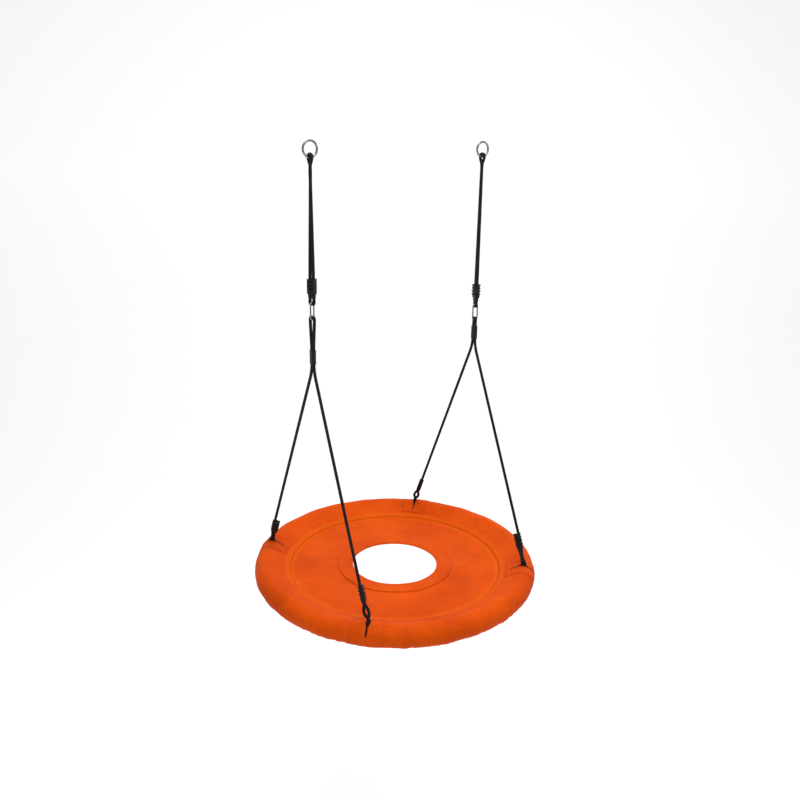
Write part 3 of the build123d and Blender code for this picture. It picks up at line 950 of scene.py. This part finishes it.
def build_hem():
    """The folded band: its outline spun round the hole."""
    top, under = 0.0003 + hem_lift, -0.0048 - hem_lift
    middle, half = (top + under) / 2, (top - under) / 2
    width = hem_r - hole_r - 0.006
    rows = [(hem_r, top - hem_lift), (hem_r - 0.0008, top + 0.0004)]
    rows += [(hem_r - 0.004 - width * i / 8, top) for i in range(9)]
    rows += [
        (hole_r + 0.0015 - half * sin(pi * i / 8) * 0.8, middle + half * cos(pi * i / 8))
        for i in range(9)
    ]
    rows += [(hole_r + 0.002 + width * i / 8, under) for i in range(9)]
    rows += [(hem_r - 0.0008, under - 0.0004), (hem_r, under + hem_lift)]
    bm = spun(rows, 360)
    for vertex in bm.verts:
        lift = hem_rest(vertex.co)
        pull_out_of_round(vertex.co)
        vertex.co.z += lift
    highest = max(bm.faces, key=lambda face: face.calc_center_median().z)
    turn_outwards(bm, [highest], Vector((0, 0, 1)))
    lay_cloth_map(bm, flat_map)
    hem = cover_piece(bm, "hole_hem", patch_cloth)
    add_wall(hem, 0.0006)
    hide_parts("hole_binding")


build_hem()

# %% [markdown]
# ## The reinforcing patches
# Where a loop goes through the cover, a rectangle of cloth is stitched over the rim, with a slit
# across the rim that the rope comes out of. The rope holds the middle of the slit open and pushes
# its lips up. A flat grid is the simplest start: its middle column is cut away as the slit, and
# each point is then laid on the rim by its distance along it and its distance round it.

# %% Slits
slit_start = -0.034
slit_end = rim_r * (touch - radians(18))
slit_middle = rim_r * (touch - pi / 2)


def slit_half_width(run):
    """Half the width of the slit at a distance along the rim's section."""
    closed = 0.0003
    if not slit_start < run < slit_end:
        return closed
    ends = min(1.0, (run - slit_start) / 0.008, (slit_end - run) / 0.008)
    open_middle = max(0.0, 1 - abs(run - slit_middle) / 0.017) ** 0.7
    return closed + 0.0014 * ends + 0.0046 * open_middle


def slit_lip(away, run):
    """How far the rope pushes the edge of the slit up beside it."""
    return 0.0030 * max(0.0, 1 - away / 0.20) * max(0.0, 1 - abs(run - slit_middle) / 0.020)


# %% Patches
patch_columns, patch_rows = 31, 52
patch_half = 0.0515
patch_lift = 0.0012
patch_start = -0.050
patch_end = rim_r * (touch + radians(35))


def patch_place(along, run, x_sign, y_sign, lift):
    """A place on the patch: along the rim from the loop, and round its section."""
    around = atan2(y_sign, x_sign) + along / ring_r
    radius, height = section_run(run)
    stand = lift + pucker(around, atan2(height, radius - ring_r)) * freedom(radius)
    radius, height = section_run(run, stand)
    return Vector((radius * cos(around), radius * sin(around), seat_z + height))


def build_patch(corner, x_sign, y_sign):
    """One patch: a grid laid over the rim, its middle column opened as the slit."""
    bm = bmesh.new()
    bmesh.ops.create_grid(bm, x_segments=patch_columns, y_segments=patch_rows, size=0.5)

    def run_of(spot):
        return patch_start + (spot.y + 0.5) * (patch_end - patch_start)

    centres = {face: face.calc_center_median() for face in bm.faces}
    opened = [
        face for face, spot in centres.items()
        if abs(spot.x) < 1e-4 and slit_start < run_of(spot) < slit_end
    ]
    bmesh.ops.delete(bm, geom=opened, context="FACES_ONLY")
    layer = bm.loops.layers.uv.new("cloth")
    half_column = 0.5 / patch_columns
    for vertex in bm.verts:
        run = run_of(vertex.co)
        side = 1 if vertex.co.x > 0 else -1
        away = (abs(vertex.co.x) - half_column) / (0.5 - half_column)
        gap = slit_half_width(run)
        along = side * (gap + away * (patch_half - gap))
        for loop in vertex.link_loops:
            loop[layer].uv = (along, run)
        vertex.co = patch_place(along, run, x_sign, y_sign, patch_lift + slit_lip(away, run))
    turn_outwards(bm, bm.faces, Vector((x_sign, y_sign, 1)))
    made = cover_piece(bm, f"{corner}_cover_patch", patch_cloth)
    add_wall(made, 0.0011)
    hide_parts(f"{corner}_patch")


for corner, (x_sign, y_sign, visible) in corners.items():
    build_patch(corner, x_sign, y_sign)
print("patches of", round(2 * patch_half, 3), "x", round(patch_end - patch_start, 3), "m")

# %% [markdown]
# ## Stitching
# Each stitch is a short bead of thread that dips into the cloth at both ends. A bump in the
# material would look flat from near by, so the beads are real. One sphere comes from an operator,
# and every matrix of a row places a copy of it. The copies are made by arrays, because thousands
# of operator calls are slow.
# Long beads run along the seams. Short black ones lie side by side across the edges of the slits, and
# their black is painted shade for the shadow line along each slit.

# %% Stitch helpers
stitch_length = 0.0042
stitch_pitch = 0.0062
thread_r = 0.00055


def stitch_row(places, outs, length=stitch_length):
    """A matrix for each bead along a line of places, each with its way out of the cloth."""
    beads = []
    for here, there, out in zip(places, places[1:], outs):
        forward = (there - here).normalized()
        side = out.cross(forward).normalized()
        turn = Matrix((forward, side, forward.cross(side))).transposed().to_4x4()
        size = Matrix.Diagonal((length / 2, thread_r, thread_r, 1))
        beads.append(Matrix.Translation(here.lerp(there, 0.5)) @ turn @ size)
    return beads


def sew(name, beads, yarn):
    """One bead, repeated by every matrix of a row."""
    bm = bmesh.new()
    bmesh.ops.create_uvsphere(bm, u_segments=6, v_segments=4, radius=1)
    bead = np.array([(*v.co, 1) for v in bm.verts])
    faces = [[v.index for v in f.verts] for f in bm.faces]
    bm.free()
    spots = np.concatenate([bead @ np.array(matrix).T for matrix in beads])[:, :3]
    copies = [[i + k * len(bead) for i in face] for k in range(len(beads)) for face in faces]
    mesh = bpy.data.meshes.new(name)
    mesh.from_pydata(spots.tolist(), [], copies)
    bm = bmesh.new()
    bm.from_mesh(mesh)
    cover_piece(bm, name, yarn)
    bpy.data.meshes.remove(mesh)
    print(name, len(beads), "stitches")


def circle_row(radius, height, up):
    """A circle of stitches on the hem."""
    count = round(2 * pi * radius / stitch_pitch)
    places = []
    for i in range(count + 1):
        around = 2 * pi * i / count
        reach = radius * growth(radius, around)
        spot = Vector((reach * cos(around), reach * sin(around), 0))
        places.append(spot + Vector((0, 0, seat_z + height + hem_rest(spot))))
    return stitch_row(places, [Vector((0, 0, up))] * count)


# %% Stitch rows
hem_top, hem_under = hem_lift + 0.0005, -0.0050 - hem_lift
outer_row, inner_row = hem_r - 0.004, hole_r + 0.006
sew("hem_stitches", circle_row(outer_row, hem_top, 1) + circle_row(inner_row, hem_top, 1), cover_thread)
sew("under_hem_stitches", circle_row(outer_row, hem_under, -1), cover_thread)


def rim_row(angle_sign):
    """A circle of stitches on the slope of the sleeve just outside the seam."""
    count = round(2 * pi * (panel_r + 0.006) / stitch_pitch)
    high = section_point(touch)
    drop = 0.0 if angle_sign > 0 else -under_drop
    rise = Vector((high[0] - panel_r, angle_sign * high[1] - drop))
    up_slope = 0.12
    radius, height = panel_r + rise.x * up_slope, drop + rise.y * up_slope
    section_angle = atan2(height, radius - ring_r)
    places, outs = [], []
    for i in range(count + 1):
        around = 2 * pi * i / count
        flat = Vector((cos(around), sin(around), 0))
        out = (Vector((0, 0, rise.x)) * angle_sign - flat * abs(rise.y)).normalized()
        lift = pucker(around if around <= pi else around - 2 * pi, section_angle) * freedom(radius)
        places.append(flat * radius + Vector((0, 0, seat_z + height)) + out * (0.0003 + lift))
        outs.append(out)
    return stitch_row(places, outs)


sew("seam_stitches", rim_row(1), cover_thread)
sew("under_seam_stitches", rim_row(-1), cover_thread)


# %% Stitches of the patches and slits
on_patch = patch_lift + 0.0002
slit_stitch_length = 0.0026
slit_stitch_pitch = 0.0013


def patch_stitches(corner, x_sign, y_sign):
    """The row of stitches round the edge of a patch."""
    inset = 0.004
    start, end, half = patch_start + inset, patch_end - inset, patch_half - inset
    up_steps = round((end - start) / stitch_pitch)
    across_steps = round(2 * half / stitch_pitch)
    track = [(-half, start + (end - start) * i / up_steps) for i in range(up_steps)]
    track += [(-half + 2 * half * i / across_steps, end) for i in range(across_steps)]
    track += [(half, end - (end - start) * i / up_steps) for i in range(up_steps)]
    track += [(half - 2 * half * i / across_steps, start) for i in range(across_steps + 1)]
    places = [patch_place(*spot, x_sign, y_sign, on_patch) for spot in track]
    above = [patch_place(*spot, x_sign, y_sign, on_patch + 0.001) for spot in track]
    outs = [high - low for high, low in zip(above, places)]
    sew(f"{corner}_patch_stitches", stitch_row(places, outs), cover_thread)


def slit_stitches(corner, x_sign, y_sign):
    """Black stitches laid side by side over both edges of a slit, so that it doesn't fray. Their black
    is painted shade along the slit.
    """
    count = round((slit_end - slit_start) / slit_stitch_pitch)
    beads = []
    for i in range(count + 1):
        run = slit_start + (slit_end - slit_start) * i / count
        lift = on_patch + slit_lip(0.0, run)
        for side in (-1, 1):
            inner, outer = (side * (slit_half_width(run) + reach) for reach in (-0.0004, 0.0021))
            ends = [patch_place(along, run, x_sign, y_sign, lift) for along in (inner, outer)]
            out = patch_place(inner, run, x_sign, y_sign, lift + 0.001) - ends[0]
            beads += stitch_row(ends, [out], slit_stitch_length)
    sew(f"{corner}_slit_stitches", beads, slit_shade_thread)


for corner, (x_sign, y_sign, visible) in corners.items():
    patch_stitches(corner, x_sign, y_sign)
    slit_stitches(corner, x_sign, y_sign)
